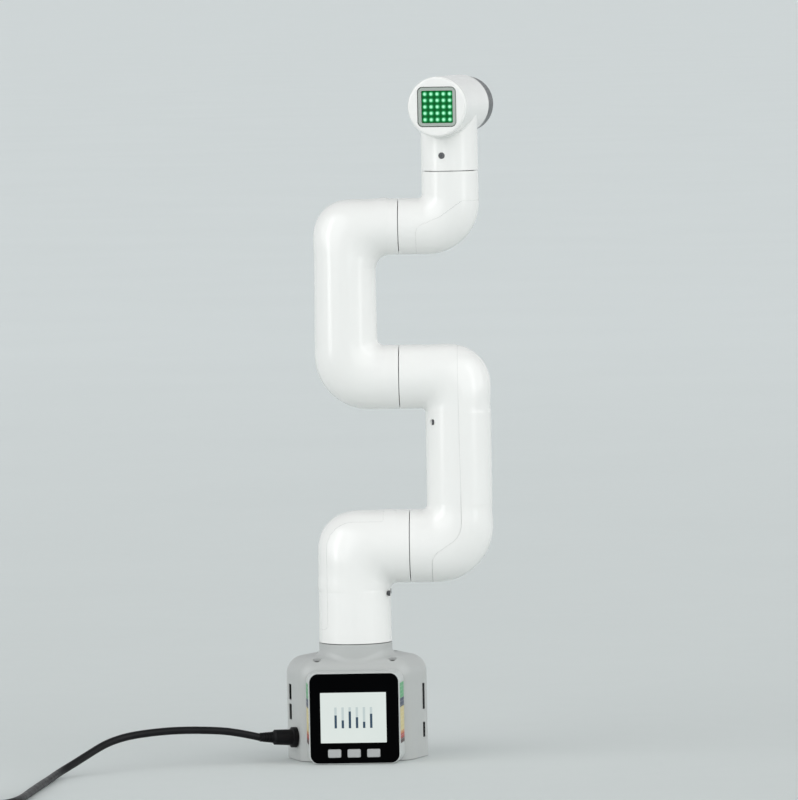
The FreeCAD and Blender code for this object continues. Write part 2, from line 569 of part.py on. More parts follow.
def link_3():
    """Forearm: out of joint 3 to the left, up, and back to joint 4; its cover is at the rear."""
    low_inner, high_inner = 4.5, 9.0
    right = FORE_X + FORE_D / 2
    low = Vector(right + low_inner, 0, ELBOW_Z + ELBOW_D / 2 + low_inner)
    high = Vector(right + high_inner, 0, WRIST_Z - WRIST_D / 2 - high_inner)
    start = Vector(ELBOW_SEAM_X - SEAM / 2, 0, ELBOW_Z)
    end = Vector(WRIST_SEAM_X - SEAM / 2, 0, WRIST_Z)
    foot_d = FORE_D + 0.6
    stretches = [
        straight(start, Vector(low.x, 0, ELBOW_Z), Z * -1, ELBOW_D),
        bend(low, Z * -1, X * -1, ELBOW_D, foot_d, low_inner, 34.0),
        straight(Vector(right - foot_d / 2, 0, low.z), Vector(FORE_X, 0, high.z), X * -1,
                 foot_d, FORE_D),
        bend(high, X * -1, Z, FORE_D, WRIST_D, high_inner, 22.5),
        straight(Vector(high.x, 0, WRIST_Z), end, Z, WRIST_D),
    ]
    shell = hollow(stretches)
    cavity = skin(stretches, WALL - 0.5)
    rear = Part.makeBox(35, 40, 88, Vector(-26, 5.0, 243))
    zone = rear.makeFillet(8, [e for e in rear.Edges if abs(e.tangentAt(e.FirstParameter).y) > 0.9])
    body, cover = split(shell, zone, Vector(0, -PART_GAP, 0))
    rim = zone.copy()
    rim.scale(1 + PART_GAP / 20, Vector(FORE_X, 5, 287))
    body = body.cut(rim)
    screws = []
    for z in (262.0, 312.0):
        x = FORE_X
        back = FORE_D / 2
        cover = cover.fuse(cyl(3.2, Vector(x, back - 1.4, z), Vector(x, 9.0, z)).common(cavity))
        cover = cover.cut(cyl(1.9, Vector(x, back - 1.6, z), Vector(x, 40, z)))
        cover = cover.cut(cyl(1.2, Vector(x, 8, z), Vector(x, 40, z)))
        screw = cyl(1.1, Vector(x, 6, z), Vector(x, back - 1.55, z))
        screws.append(screw.fuse(cyl(1.7, Vector(x, back - 1.55, z), Vector(x, back - 0.5, z))))
        body = body.fuse(cyl(3.2, Vector(x, -back + 1.4, z), Vector(x, 8.9, z)).common(cavity))
        body = body.cut(cyl(1.2, Vector(x, 5, z), Vector(x, 12, z)))
    hub, hub_screws = joint_module(3, Vector(ELBOW_SEAM_X, 0, ELBOW_Z), X * -1, Y,
                                   ELBOW_D / 2 - WALL, ELBOW_D / 2 - WALL, (22, 24, 25))
    keep("forearm_shell", body)
    keep("forearm_cover", cover)
    keep("hub_3", hub)
    keep("forearm_screws", group(screws + hub_screws))


def link_4():
    """Wrist: out of joint 4 to the right, then up to joint 5."""
    inner = 2.5
    left = HEAD_TUBE_X - HEAD_TUBE_D / 2
    pivot = Vector(left - inner, 0, WRIST_Z + WRIST_D / 2 + inner)
    start = Vector(WRIST_SEAM_X + SEAM / 2, 0, WRIST_Z)
    end = Vector(HEAD_TUBE_X, 0, ROLL_JOINT_Z - SEAM / 2)
    stretches = [
        straight(start, Vector(pivot.x, 0, WRIST_Z), Z * -1, WRIST_D),
        bend(pivot, Z * -1, X, WRIST_D, HEAD_TUBE_D, inner, 32.0),
        straight(Vector(HEAD_TUBE_X, 0, pivot.z), end, X, HEAD_TUBE_D),
    ]
    shell = hollow(stretches)
    line = [(42.7, 300), (100, 300), (100, 346.6), (71.5, 346.6), (58, 337), (42.7, 331)]
    zone = region(line, [1, 1, 1, 4, 6, 6])
    body, cover = split(shell, zone, Vector(-FINE_GAP, 0, FINE_GAP))
    hub, hub_screws = joint_module(4, Vector(WRIST_SEAM_X, 0, WRIST_Z), X, Y,
                                   WRIST_D / 2 - WALL, WRIST_D / 2 - WALL, (19, 21, 24))
    keep("wrist_shell", body)
    keep("wrist_cover", cover)
    keep("hub_4", hub)
    keep("wrist_screws", group(hub_screws))


# ---- head ----------------------------------------------------------------------------------------
TURN = math.radians(HEAD_TURN_DEG)
HEAD_CENTRE = Vector(HEAD_TUBE_X, 0, HEAD_Z)
HEAD_AXIS = Vector(-math.sin(TURN), math.cos(TURN), 0)  # towards the flange
HEAD_SIDE = Vector(math.cos(TURN), math.sin(TURN), 0)
CAP_T = 5.2
LED_CASE, LED_HOLE, LED_WINDOW = 24.1, 24.9, 19.8
LED_PITCH, LED_PER_SIDE = 3.95, 5


def head_point(along, side=0.0, up=0.0):
    return HEAD_CENTRE + HEAD_AXIS * along + HEAD_SIDE * side + Z * up


def head_slab(width, height, radius, start, end):
    flat = rounded_box(width, height, end - start, radius, ORIGIN)
    return on_axis(flat, head_point(start), HEAD_AXIS, HEAD_SIDE)


def link_5():
    """Head: a tube on joint 5 that carries a barrel across it, with the LED unit at the front."""
    barrel_front = HEAD_FRONT + CAP_T + 0.12
    tube_top = Vector(HEAD_TUBE_X, 0, HEAD_Z)
    tube_low = Vector(HEAD_TUBE_X, 0, ROLL_JOINT_Z + SEAM / 2)
    outer = cyl(HEAD_TUBE_D / 2, tube_low, tube_top).fuse(
        cyl(HEAD_D / 2, head_point(barrel_front), head_point(HEAD_SEAM - SEAM / 2)))
    outer = outer.removeSplitter()
    joint_edges = [e for e in outer.Edges
                   if e.BoundBox.ZMin > ROLL_JOINT_Z + 5 and e.BoundBox.ZMax < HEAD_Z - 0.5]
    outer = outer.makeFillet(2.2, joint_edges)
    inner = cyl(HEAD_TUBE_D / 2 - WALL, tube_low - Z, tube_top).fuse(
        cyl(HEAD_D / 2 - WALL, head_point(barrel_front - 1), head_point(HEAD_SEAM + 1)))
    shell = outer.cut(inner)
    hole_z = 374.85
    out = (HEAD_AXIS * -1 - HEAD_SIDE * 0.042).normalize()
    wall = Vector(HEAD_TUBE_X, 0, hole_z) + out * (HEAD_TUBE_D / 2)
    shell = shell.cut(cyl(2.1, wall - out * 1.1, wall + out * 4))
    shell = shell.cut(cyl(1.3, wall - out * 4, wall + out * 4))
    screw = cyl(1.1, wall - out * 5.5, wall - out * 1.05).fuse(
        cyl(1.95, wall - out * 1.05, wall - out * 0.2))
    screw = screw.cut(on_axis(rounded_box(2.4, 0.6, 2, 0.1, ORIGIN), wall - out * 0.7, out, Z))
    screw = screw.cut(on_axis(rounded_box(0.6, 2.4, 2, 0.1, ORIGIN), wall - out * 0.7, out, Z))
    keep("head_shell", shell)

    cap = cyl(HEAD_D / 2, head_point(HEAD_FRONT), head_point(HEAD_FRONT + CAP_T))
    front_edge = [e for e in cap.Edges
                  if abs((e.CenterOfMass - head_point(HEAD_FRONT)).dot(HEAD_AXIS)) < 0.01
                  and e.Length > 50]
    cap = cap.makeFillet(1.5, front_edge)
    cap = cap.cut(head_slab(LED_HOLE, LED_HOLE, 3.4, HEAD_FRONT - 1, HEAD_FRONT + CAP_T + 1))
    lip = ring(HEAD_D / 2 - WALL - FIT, HEAD_D / 2 - WALL - 0.9, head_point(HEAD_FRONT + CAP_T - 0.1),
               head_point(HEAD_FRONT + CAP_T + 3))
    keep("head_front_cap", cap.fuse(lip))

    face = HEAD_FRONT + 0.5
    case = head_slab(LED_CASE, LED_CASE, 3.0, face, face + 4.4)
    case = case.makeFillet(0.4, [e for e in case.Edges
                                 if (e.CenterOfMass - head_point(face)).dot(HEAD_AXIS) < 0.01])
    case = case.fuse(head_slab(LED_CASE - 1, LED_CASE - 1, 3.0, face + 4.3, face + 13.6))
    case = case.cut(head_slab(LED_WINDOW + 0.3, LED_WINDOW + 0.3, 0.8, face - 1, face + 6.4))
    case = case.cut(head_slab(21, 20.6, 1.8, face + 7.5, face + 12.5))
    case = case.common(cyl(HEAD_D / 2 - WALL - FIT, head_point(HEAD_FRONT), head_point(0)))
    keep("led_case", case)
    board = head_slab(LED_WINDOW, LED_WINDOW, 0.6, face + 1.7, face + 3.3)
    plunger = cyl(1.6, head_point(face + 3.2), head_point(face + 5.0))
    keep("led_board", board.fuse(plunger))
    chips = []
    for i in range(LED_PER_SIDE):
        for k in range(LED_PER_SIDE):
            side = (i - 2) * LED_PITCH
            up = (k - 2) * LED_PITCH
            chip = rounded_box(2.3, 2.3, 0.75, 0.9, ORIGIN)
            chips.append(on_axis(chip, head_point(face + 0.94, side, up), HEAD_AXIS, HEAD_SIDE))
    keep("led_chips", group(chips))

    hub, hub_screws = joint_module(5, Vector(HEAD_TUBE_X, 0, ROLL_JOINT_Z), Z, HEAD_SIDE,
                                   HEAD_TUBE_D / 2 - WALL, HEAD_TUBE_D / 2 - WALL, (20, 18, 22))
    keep("hub_5", hub)
    keep("head_screws", group([screw] + hub_screws))


FLANGE_D, FLANGE_T = 34.4, 13.6
FLANGE_PCD, BRICK_PCD, BRICK_R, BOLT_R = 26.0, 16.0 * math.sqrt(2), 2.45, 1.25


def flange():
    """The turning end of the head: a white sleeve and a metal tool flange."""
    hub, hub_screws = joint_module(6, head_point(HEAD_SEAM), HEAD_AXIS, HEAD_SIDE,
                                   HEAD_D / 2 - WALL, HEAD_D / 2 - WALL - 0.4, (20, 21, 24))
    sleeve_end = HEAD_END - FLANGE_T
    sleeve = ring(HEAD_D / 2 - 1.4, HEAD_D / 2 - WALL - 0.4, head_point(HEAD_SEAM + SEAM / 2),
                  head_point(sleeve_end))
    tail = [e for e in sleeve.Edges
            if abs((e.CenterOfMass - head_point(sleeve_end)).dot(HEAD_AXIS)) < 0.01
            and e.Length > 105]
    keep("output_sleeve", sleeve.makeFillet(0.4, tail))
    plate = cyl(FLANGE_D / 2, head_point(sleeve_end + 0.05), head_point(HEAD_END))
    end_edges = [e for e in plate.Edges if e.Length > 100
                 and abs((e.CenterOfMass - head_point(HEAD_END)).dot(HEAD_AXIS)) < 0.01]
    plate = plate.makeChamfer(0.6, end_edges)
    plate = plate.cut(cyl(FLANGE_D / 2 - 2.2, head_point(sleeve_end - 1), head_point(HEAD_END - 4.6)))
    plate = plate.cut(cyl(4.0, head_point(HEAD_END - 8), head_point(HEAD_END + 1)))
    for k in range(4):
        for pcd, radius, phase in ((BRICK_PCD, BRICK_R, 0.5), (FLANGE_PCD, BOLT_R, 0.0)):
            turn = math.pi / 2 * (k + phase)
            side, up = math.cos(turn) * pcd / 2, math.sin(turn) * pcd / 2
            plate = plate.cut(cyl(radius, head_point(HEAD_END - 9, side, up),
                                  head_point(HEAD_END + 1, side, up)))
    keep("tool_flange", plate)
    keep("hub_6", hub)
    keep("flange_screws", group(hub_screws))


# ---- power lead ----------------------------------------------------------------------------------
LEAD_D = 4.7
COIL_R, COIL_TUBE_W, COIL_H = 26.0, 15.0, 9.6
COIL_CENTRE = Vector(-243.0, -245.0, 0)
FLOOR = LEAD_D / 2
PLUG_L = 23.4
END_R, END_LENGTH = 4.4, 30.0  # the connector at the far end, lying on the coil


def lead_points():
    """The lead after the plug: up in an arch, down to the table and round into the coil."""
    return [
        Vector(-75.0, -28.0, 19.9), Vector(-92.5, -33.4, 21.7), Vector(-110.5, -37.8, 22.3),
        Vector(-127.0, -43.0, 21.6), Vector(-141.6, -50.5, 20.1), Vector(-153.2, -60.5, 17.0),
        Vector(-163.4, -73.2, 11.6), Vector(-172.3, -86.5, 6.9), Vector(-180.0, -99.5, 3.2),
        Vector(-183.0, -125.0, FLOOR), Vector(-186.8, -165.0, FLOOR),
        Vector(-189.9, -203.0, FLOOR), Vector(-192.0, -238.0, FLOOR),
        Vector(-198.5, -259.5, FLOOR), Vector(-214.0, -274.7, FLOOR),
        Vector(-234.5, -275.3, FLOOR),
    ]  # fmt: skip


def lead_path(points):
    """Straight runs joined by arcs that are as large as the two runs at each point allow."""
    radii = []
    for i in range(1, len(points) - 1):
        a, b = points[i] - points[i - 1], points[i + 1] - points[i]
        turn = a.getAngle(b)
        radii.append(0.45 * min(a.Length, b.Length) / math.tan(turn / 2))
    print("lead radii", [round(r) for r in radii])
    return rounded_wire(points, radii)


def turned(profile):
    """A turned solid along +Z from z 0, its profile given as (z, radius)."""
    outline = [Vector(0, 0, 0)] + [Vector(r, 0, z) for z, r in profile]
    outline.append(Vector(0, 0, profile[-1][0]))
    return Part.Face(Part.makePolygon(outline + outline[:1])).revolve(ORIGIN, Z, 360)


def build_lead():
    point, normal = side_frame(JACK_Y, JACK_Z, False)
    root = point + normal * 0.35
    lean = (normal * 24.0 + Z * 1.2).normalize()
    plug = turned([(0.0, 6.4), (2.8, 6.4), (3.4, 5.0), (14.0, 4.7), (15.0, 3.5), (PLUG_L, 2.75)])
    for k in range(4):
        z = 16.6 + k * 1.7
        plug = plug.cut(ring(5, 2.65, Z * z, Z * (z + 0.7)))
    plug = plug.fuse(ring(2.75, 1.6, Z * -9.5, Z * 0.05))
    plug = plug.cut(cyl(1.6, Z * -10, Z * 0.6))
    keep("power_plug", on_axis(plug, root, lean, Z))

    points = [root + lean * (PLUG_L + 0.3)] + lead_points()
    path = lead_path(points)
    circle = Part.Wire(Part.makeCircle(LEAD_D / 2, points[0], points[1] - points[0]))
    tube = path.makePipeShell([circle], True, False)
    area = math.pi * (LEAD_D / 2) ** 2
    print("lead length", round(path.Length, 1), "volume ratio", round(tube.Volume / area / path.Length, 4))
    keep("power_lead", tube)

    half_w = COIL_TUBE_W / 2
    section = rounded_wire(
        [Vector(COIL_R - half_w, 0, 0), Vector(COIL_R + half_w, 0, 0),
         Vector(COIL_R + half_w, 0, COIL_H), Vector(COIL_R - half_w, 0, COIL_H)],
        [2.2] * 4, closed=True)
    coil = Part.Face(section).revolve(ORIGIN, Z, 360)
    coil.translate(COIL_CENTRE)
    keep("power_lead_coil", coil)

    end = turned([(0, 2.45), (9.0, 3.3), (9.6, END_R), (24.0, END_R), (24.6, END_R - 0.5),
                  (END_LENGTH, END_R - 0.5)])
    end = end.cut(cyl(2.75, Z * (END_LENGTH - 9), Z * (END_LENGTH + 1)))
    end = end.fuse(cyl(0.9, Z * (END_LENGTH - 9.1), Z * (END_LENGTH - 1)))
    start = COIL_CENTRE + Vector(-7.0, COIL_R, COIL_H + END_R + 0.05)
    keep("lead_end", on_axis(end, start, X, Z))


def main():
    build_base()
    build_display()
    link_1()
    link_2()
    link_3()
    link_4()
    link_5()
    flange()
    build_lead()
    os.makedirs("parts", exist_ok=True)
    for stale in os.listdir("parts"):
        os.remove(os.path.join("parts", stale))
    for name, shape in sorted(PARTS.items()):
        solids = shape.Solids
        state = "ok" if shape.isValid() and all(s.isClosed() for s in solids) else "BAD"
        print(f"{name:20s} solids {len(solids):2d} volume {shape.Volume:10.1f} {state}")
        shape.exportStep(f"parts/{name}.step")
    print(len(PARTS), "nodes")


main()
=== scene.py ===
import bmesh
import bpy
import json
import math
from mathutils import Matrix, Vector


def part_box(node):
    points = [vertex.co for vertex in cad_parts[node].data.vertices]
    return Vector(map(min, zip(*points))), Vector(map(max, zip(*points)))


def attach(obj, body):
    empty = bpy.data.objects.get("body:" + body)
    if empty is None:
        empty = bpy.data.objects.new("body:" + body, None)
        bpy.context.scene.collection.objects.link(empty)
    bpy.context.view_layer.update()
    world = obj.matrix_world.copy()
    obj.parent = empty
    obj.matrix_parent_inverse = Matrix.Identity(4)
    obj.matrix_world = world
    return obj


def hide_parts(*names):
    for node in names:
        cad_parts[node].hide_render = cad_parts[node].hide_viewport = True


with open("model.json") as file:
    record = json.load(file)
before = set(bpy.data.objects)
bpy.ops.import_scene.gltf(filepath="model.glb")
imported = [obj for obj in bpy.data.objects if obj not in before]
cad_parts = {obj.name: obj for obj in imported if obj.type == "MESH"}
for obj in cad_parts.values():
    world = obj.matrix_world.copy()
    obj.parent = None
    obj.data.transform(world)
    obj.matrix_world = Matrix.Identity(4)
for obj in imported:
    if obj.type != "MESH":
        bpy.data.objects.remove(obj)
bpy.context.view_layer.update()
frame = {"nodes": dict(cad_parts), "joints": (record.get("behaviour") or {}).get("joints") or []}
NODES = frame["nodes"]


# ---- camera --------------------------------------------------------------------------------------
CAMERA_AWAY, CAMERA_TURN, CAMERA_HEIGHT = 5.0, math.radians(2.3), 0.517
CAMERA_TARGET = Vector((0.0299, 0, 0.2228))
CAMERA_TILT = math.radians(1.1)  # the picture leans a little to one side


def make_camera():
    place = Vector((CAMERA_AWAY * math.sin(CAMERA_TURN), -CAMERA_AWAY * math.cos(CAMERA_TURN),
                    CAMERA_HEIGHT))
    look = (CAMERA_TARGET - place).normalized()
    right = look.cross(Vector((0, 0, 1))).normalized()
    up = right.cross(look)
    cosine, sine = math.cos(CAMERA_TILT), math.sin(CAMERA_TILT)
    right, up = right * cosine - up * sine, up * cosine + right * sine
    data = bpy.data.cameras.new("camera")
    data.lens = 362.0
    data.sensor_width = 36.0
    data.clip_end = 400.0
    camera = bpy.data.objects.new("camera", data)
    rotation = Matrix((right, up, -look)).transposed().to_4x4()
    camera.matrix_world = Matrix.Translation(place) @ rotation
    bpy.context.scene.collection.objects.link(camera)
    bpy.context.scene.camera = camera


make_camera()


# ---- materials -----------------------------------------------------------------------------------
class Surface:
    """A node material with short ways to add the usual nodes."""

    def __init__(self, name, **sockets):
        self.mat = bpy.data.materials.new(name)
        self.mat.use_nodes = True
        self.tree = self.mat.node_tree
        self.shader = self.tree.nodes["Principled BSDF"]
        for key, value in sockets.items():
            self.shader.inputs[key.replace("_", " ")].default_value = value
        self.where = self.node("ShaderNodeTexCoord").outputs["Object"]

    def node(self, kind, **values):
        made = self.tree.nodes.new(kind)
        for key, value in values.items():
            setattr(made, key, value)
        return made

    def link(self, source, target):
        self.tree.links.new(source, target)

    def noise(self, scale, detail=3.0, rough=0.5, stretch=None):
        made = self.node("ShaderNodeTexNoise")
        made.inputs["Scale"].default_value = scale
        made.inputs["Detail"].default_value = detail
        made.inputs["Roughness"].default_value = rough
        where = self.where
        if stretch:
            mapping = self.node("ShaderNodeMapping")
            mapping.inputs["Scale"].default_value = stretch
            self.link(self.where, mapping.inputs["Vector"])
            where = mapping.outputs["Vector"]
        self.link(where, made.inputs["Vector"])
        return made.outputs["Fac"]

    def ramp(self, factor, stops, mode="LINEAR"):
        made = self.node("ShaderNodeValToRGB")
        made.color_ramp.interpolation = mode
        band = made.color_ramp.elements
        while len(band) < len(stops):
            band.new(0.5)
        for spot, (position, colour) in zip(band, stops):
            spot.position = position
            spot.color = (*colour, 1.0) if len(colour) == 3 else colour
        self.link(factor, made.inputs["Fac"])
        return made.outputs["Color"]

    def spread(self, factor, low, high, start=0.3, end=0.7):
        made = self.node("ShaderNodeMapRange")
        made.inputs["From Min"].default_value = start
        made.inputs["From Max"].default_value = end
        made.inputs["To Min"].default_value = low
        made.inputs["To Max"].default_value = high
        self.link(factor, made.inputs["Value"])
        return made.outputs["Result"]

    def maths(self, operation, *values):
        made = self.node("ShaderNodeMath", operation=operation)
        for socket, value in zip(made.inputs, values):
            if isinstance(value, (int, float)):
                socket.default_value = value
            else:
                self.link(value, socket)
        return made.outputs["Value"]

    def along(self, direction, origin=(0, 0, 0)):
        """How far a point lies from origin along a direction."""
        offset = self.node("ShaderNodeVectorMath", operation="SUBTRACT")
        self.link(self.where, offset.inputs[0])
        offset.inputs[1].default_value = origin
        dot = self.node("ShaderNodeVectorMath", operation="DOT_PRODUCT")
        self.link(offset.outputs["Vector"], dot.inputs[0])
        dot.inputs[1].default_value = direction
        return dot.outputs["Value"]

    def blend(self, factor, a, b, mode="MIX"):
        made = self.node("ShaderNodeMix", data_type="RGBA", blend_type=mode)
        for socket, value in ((made.inputs["Factor"], factor), (made.inputs["A"], a),
                              (made.inputs["B"], b)):
            if isinstance(value, (int, float)):
                socket.default_value = value
            elif isinstance(value, tuple):
                socket.default_value = (*value, 1.0)
            else:
                self.link(value, socket)
        return made.outputs["Result"]

    def colour(self, value):
        self.link(value, self.shader.inputs["Base Color"])

    def rough(self, value):
        self.link(value, self.shader.inputs["Roughness"])

    def relief(self, height, depth, strength=1.0):
        made = self.node("ShaderNodeBump")
        made.inputs["Strength"].default_value = strength
        made.inputs["Distance"].default_value = depth
        self.link(height, made.inputs["Height"])
        before = self.shader.inputs["Normal"].links
        if before:
            self.link(before[0].from_socket, made.inputs["Normal"])
        self.link(made.outputs["Normal"], self.shader.inputs["Normal"])


def plastic(name, light, dark, rough=(0.3, 0.4), grain=2500, depth=0.00002, coat=0.0, scuffs=0.3,
            specular=0.5):
    """Moulded plastic: slight tone changes, moulding grain, and fine scuffs in the gloss."""
    s = Surface(name, Coat_Weight=coat, Coat_Roughness=0.08, Specular_IOR_Level=specular)
    s.colour(s.blend(s.spread(s.noise(14, 4), 0, 1), light, dark))
    wear = s.spread(s.noise(60, 6, 0.7, (1, 1, 4)), rough[0], rough[1])
    hairline = s.spread(s.noise(900, 2, 0.5, (1, 1, 0.05)), 0, scuffs * 0.12, 0.62, 0.75)
    s.rough(s.maths("ADD", wear, hairline))
    s.relief(s.noise(grain, 2), depth)
    return s


def metal(name, light, dark, rough=(0.25, 0.4), stretch=(1, 1, 1), grain=1500, depth=0.00001):
    s = Surface(name, Metallic=1.0)
    s.colour(s.blend(s.spread(s.noise(120, 4, 0.6, stretch), 0, 1), light, dark))
    s.rough(s.spread(s.noise(grain, 3, 0.6, stretch), rough[0], rough[1]))
    s.relief(s.noise(grain, 2, 0.5, stretch), depth)
    return s


def dress(surface, *names):
    for name in names:
        slots = NODES[name].data.materials
        slots.clear()
        slots.append(surface.mat)


WHITE = plastic("white_gloss", (0.885, 0.885, 0.865), (0.865, 0.865, 0.845),
                (0.19, 0.25), 700, 0.000006, 0.35, 0.1)
GREY = plastic("base_satin", (0.485, 0.50, 0.49), (0.455, 0.47, 0.46),
               (0.34, 0.46), 3200, 0.00003, 0.1)
PLATE = plastic("plate_matte", (0.34, 0.35, 0.35), (0.30, 0.31, 0.31), (0.5, 0.62), 2600, 0.00004)
CASE = plastic("case_satin", (0.56, 0.58, 0.57), (0.52, 0.54, 0.53),
               (0.3, 0.42), 3200, 0.00002, 0.1)
BEZEL = plastic("bezel_gloss", (0.0010, 0.0011, 0.0014), (0.0016, 0.0017, 0.0020),
                (0.10, 0.18), 500, 0.000004, specular=0.01)
BUTTON = plastic("button_matte", (0.44, 0.45, 0.45), (0.40, 0.41, 0.41),
                 (0.42, 0.55), 3600, 0.00003)
BLACK = plastic("connector_black", (0.005, 0.005, 0.006), (0.008, 0.008, 0.009),
                (0.38, 0.52), 2600, 0.00002, specular=0.12)
SERVO = plastic("servo_case", (0.022, 0.023, 0.026), (0.035, 0.036, 0.040),
                (0.4, 0.55), 2000, 0.00004)
LED_FRAME = plastic("led_frame", (0.42, 0.47, 0.43), (0.385, 0.43, 0.395),
                    (0.4, 0.52), 2600, 0.00002)
STEEL = metal("bearing_steel", (0.55, 0.56, 0.58), (0.42, 0.43, 0.45), (0.18, 0.32), (1, 1, 8))
SCREW = metal("screw_steel", (0.15, 0.155, 0.16), (0.10, 0.10, 0.105), (0.28, 0.45))
BLACKED = metal("screw_blackened", (0.050, 0.050, 0.052), (0.028, 0.028, 0.030), (0.4, 0.55))
HUB = metal("hub_aluminium", (0.66, 0.67, 0.69), (0.55, 0.56, 0.58), (0.25, 0.42), (1, 1, 6))

dress(WHITE, "shoulder_shell", "shoulder_cover", "upper_arm_shell", "upper_arm_cover",
      "forearm_shell", "forearm_cover", "wrist_shell", "wrist_cover", "head_shell",
      "head_front_cap", "output_sleeve")


def centre_of(node):
    low, high = (Vector(corner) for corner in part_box(node))
    return (low + high) / 2


def lit_screen():
    """A pale lit screen with six level bars, one for each joint."""
    centre = centre_of("display_screen")
    pitch, half_bar, tall, foot = 0.0044, 0.00075, 0.013, -0.0065
    s = Surface("lit_screen", Base_Color=(0.01, 0.01, 0.01, 1), Roughness=0.12, Coat_Weight=0.3,
                Emission_Strength=1.0)
    across, up = s.along((1, 0, 0), centre), s.along((0, 0, 1), centre)
    in_bar = s.maths("GREATER_THAN", s.maths("PINGPONG", across, pitch / 2), pitch / 2 - half_bar)
    in_row = s.maths("LESS_THAN", s.maths("ABSOLUTE", across), 3 * pitch)
    above = s.maths("GREATER_THAN", up, foot)
    column = s.maths("MULTIPLY", s.maths("MULTIPLY", in_bar, in_row), above)
    place = s.maths("MULTIPLY_ADD", across, 1 / (6 * pitch), 0.5)
    levels = (0.62, 0.38, 0.80, 0.52, 0.30, 0.68)
    stops = [(k / 6, (level,) * 3) for k, level in enumerate(levels)]
    level = s.maths("MULTIPLY_ADD", s.ramp(place, stops, "CONSTANT"), tall, foot)
    track = s.maths("MULTIPLY", column, s.maths("LESS_THAN", up, foot + tall))
    bar = s.maths("MULTIPLY", column, s.maths("LESS_THAN", up, level))
    glow = s.blend(s.spread(s.noise(45, 2), 0, 1), (0.70, 0.76, 0.73), (0.67, 0.735, 0.705))
    glow = s.blend(s.maths("MULTIPLY", track, 0.45), glow, (0.30, 0.40, 0.43))
    glow = s.blend(bar, glow, (0.012, 0.045, 0.085))
    s.link(glow, s.shader.inputs["Emission Color"])
    s.rough(s.spread(s.noise(200, 3), 0.10, 0.16))
    return s


HEAD_TURN = next(Vector(j["axis"]) for j in frame["joints"] if j["name"] == "flange_turn")
HEAD_SIDE = Vector((HEAD_TURN.y, -HEAD_TURN.x, 0)).normalized()
LED_PITCH = 0.00395  # from one LED to the next


def led_surface(name, stops, **sockets):
    """Light that falls off around each LED of the square grid."""
    s = Surface(name, Emission_Strength=1.0, **sockets)
    centre = centre_of("led_chips")
    legs = [s.maths("PINGPONG", s.along(way, centre), LED_PITCH / 2)
            for way in (HEAD_SIDE, (0, 0, 1))]
    squares = [s.maths("MULTIPLY", leg, leg) for leg in legs]
    away = s.maths("SQRT", s.maths("ADD", *squares))
    glow = s.ramp(s.maths("MULTIPLY", away, 1 / LED_PITCH), stops)
    s.link(glow, s.shader.inputs["Emission Color"])
    s.colour(s.blend(s.spread(s.noise(900, 3), 0, 1), (0.003, 0.030, 0.010), (0.005, 0.042, 0.014)))
    s.rough(s.spread(s.noise(700, 3), 0.3, 0.45))
    return s


def circuit(name):
    """Green solder mask over a fine pattern of tracks, with tinned pads."""
    s = Surface(name, Coat_Weight=0.3, Coat_Roughness=0.2)
    tracks = s.node("ShaderNodeTexBrick", offset=0.37, squash=0.6, squash_frequency=3)
    tracks.inputs["Scale"].default_value = 260
    tracks.inputs["Mortar Size"].default_value = 0.035
    s.link(s.where, tracks.inputs["Vector"])
    mask = s.blend(s.spread(s.noise(60, 3), 0, 1), (0.012, 0.085, 0.045), (0.016, 0.110, 0.058))
    mask = s.blend(tracks.outputs["Fac"], mask, (0.030, 0.190, 0.090))
    pads = s.node("ShaderNodeTexVoronoi", feature="F1", distance="CHEBYCHEV")
    pads.inputs["Scale"].default_value = 420
    pads.inputs["Randomness"].default_value = 0.25
    s.link(s.where, pads.inputs["Vector"])
    tinned = s.maths("LESS_THAN", pads.outputs["Distance"], 0.13)
    s.colour(s.blend(tinned, mask, (0.62, 0.62, 0.60)))
    s.link(tinned, s.shader.inputs["Metallic"])
    s.rough(s.spread(s.noise(800, 3), 0.28, 0.42))
    s.relief(tracks.outputs["Fac"], 0.00003)
    return s


def printed_label():
    """A strip of coloured bands that code the pins, with thin rules and no lettering."""
    low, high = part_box("pin_label_right")
    half_row, half_rule = 0.00117, 0.00013
    s = Surface("pin_label_print")
    place = s.maths("MULTIPLY", s.along((0, 0, 1), (0, 0, low[2])), 1 / (high[2] - low[2]))
    bands = [
        (0.00, (0.045, 0.012, 0.010)), (0.075, (0.40, 0.035, 0.025)), (0.155, (0.55, 0.22, 0.07)),
        (0.20, (0.62, 0.53, 0.24)), (0.60, (0.015, 0.030, 0.080)), (0.745, (0.10, 0.38, 0.17)),
    ]
    colour = s.ramp(place, bands, "CONSTANT")
    rows = s.maths("PINGPONG", s.along((0, 0, 1), (0, 0, low[2])), half_row)
    rule = s.maths("LESS_THAN", rows, half_rule)
    s.colour(s.blend(s.maths("MULTIPLY", rule, 0.35), colour, (0.75, 0.76, 0.74)))
    s.rough(s.spread(s.noise(500, 3), 0.35, 0.5))
    s.relief(s.noise(1500, 2), 0.00001)
    return s


def turned_metal():
    """Anodised metal with the fine rings that a lathe leaves about the flange's axis."""
    centre = centre_of("tool_flange")
    s = Surface("flange_turned", Metallic=1.0)
    along, up = s.along(HEAD_TURN, centre), s.along((0, 0, 1), centre)
    side = s.along(HEAD_SIDE, centre)
    squares = [s.maths("MULTIPLY", leg, leg) for leg in (up, side)]
    away = s.maths("SQRT", s.maths("ADD", *squares))
    rings = s.node("ShaderNodeTexNoise", noise_dimensions="1D")
    rings.inputs["Scale"].default_value = 5200
    s.link(s.maths("ADD", along, away), rings.inputs["W"])
    s.colour(s.blend(s.spread(rings.outputs["Fac"], 0, 1), (0.21, 0.215, 0.22), (0.15, 0.155, 0.16)))
    s.rough(s.spread(s.noise(300, 4), 0.26, 0.42))
    s.relief(rings.outputs["Fac"], 0.000012)
    return s


